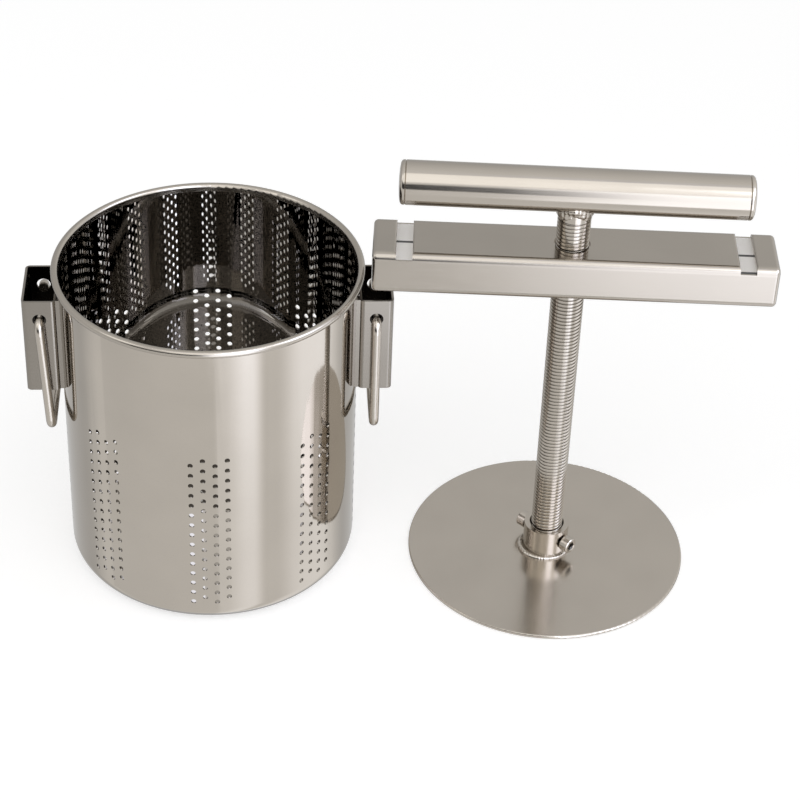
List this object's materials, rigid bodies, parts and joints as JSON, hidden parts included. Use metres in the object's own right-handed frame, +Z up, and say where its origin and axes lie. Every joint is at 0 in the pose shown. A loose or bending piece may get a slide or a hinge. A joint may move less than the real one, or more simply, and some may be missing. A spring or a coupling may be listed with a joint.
{
  "type": "screw juice press",
  "caption": "Hand screw press for juice, taken apart: a perforated steel bucket with hanging wire bails, and a press head with handle, screw, crossbar and round plate.",
  "frame": {"origin": "centre of the bucket's flat underside", "axes": "+Z up along the bucket's axis; +X through the right ear, towards the side where the press head stands; -Y towards the viewer"},
  "size_m": [0.4466, 0.2036, 0.2831],
  "materials": {
    "polished_sheet": "mirror polished stainless steel",
    "satin_tube": "satin stainless steel",
    "bright_wire": "bright drawn stainless steel wire",
    "threaded_steel": "turned stainless steel",
    "polished_tube": "polished stainless steel tube",
    "satin_plate": "brushed stainless steel",
    "fastener_steel": "machined stainless steel"
  },
  "bodies": {
    "bucket": {"bucket": "polished_sheet", "left_ear": "satin_tube", "right_ear": "satin_tube"},
    "left_bail": {"left_bail": "bright_wire"},
    "right_bail": {"right_bail": "bright_wire"},
    "crossbar": {"crossbar": "satin_tube", "crossbar_left_cap": "satin_tube", "crossbar_right_cap": "satin_tube", "screw_nut": "threaded_steel"},
    "press_plate": {"press_plate": "satin_plate", "plate_collar": "satin_plate", "near_retaining_screw": "fastener_steel", "far_retaining_screw": "fastener_steel"},
    "spindle": {"press_screw": "threaded_steel", "handle_tube": "polished_tube", "handle_left_cap": "polished_tube", "handle_right_cap": "polished_tube"}
  },
  "joints": [
    {"name": "left_bail_swing", "type": "hinge", "parent": "bucket", "child": "left_bail", "pos_m": [-0.10035, 0, 0.1779], "axis": [0, 1, 0], "range_deg": [-2, 190]},
    {"name": "right_bail_swing", "type": "hinge", "parent": "bucket", "child": "right_bail", "pos_m": [0.10035, 0, 0.1779], "axis": [0, -1, 0], "range_deg": [-5, 90]},
    {"name": "head_lift", "type": "slide", "parent": "bucket", "child": "crossbar", "axis": [0, 0, 1], "range_m": [0, 0.25]},
    {"name": "plate_travel", "type": "slide", "parent": "crossbar", "child": "press_plate", "axis": [0, 0, 1], "range_m": [-0.017, 0.183]},
    {"name": "screw_turn", "type": "hinge", "parent": "press_plate", "child": "spindle", "pos_m": [0.2139, -0.0216, 0], "axis": [0, 0, 1], "range_deg": [-2448, 26352]}
  ],
  "couplings": [
    {"joint": "plate_travel", "follows": "screw_turn", "m_per_rad": 0.00039789}
  ]
}
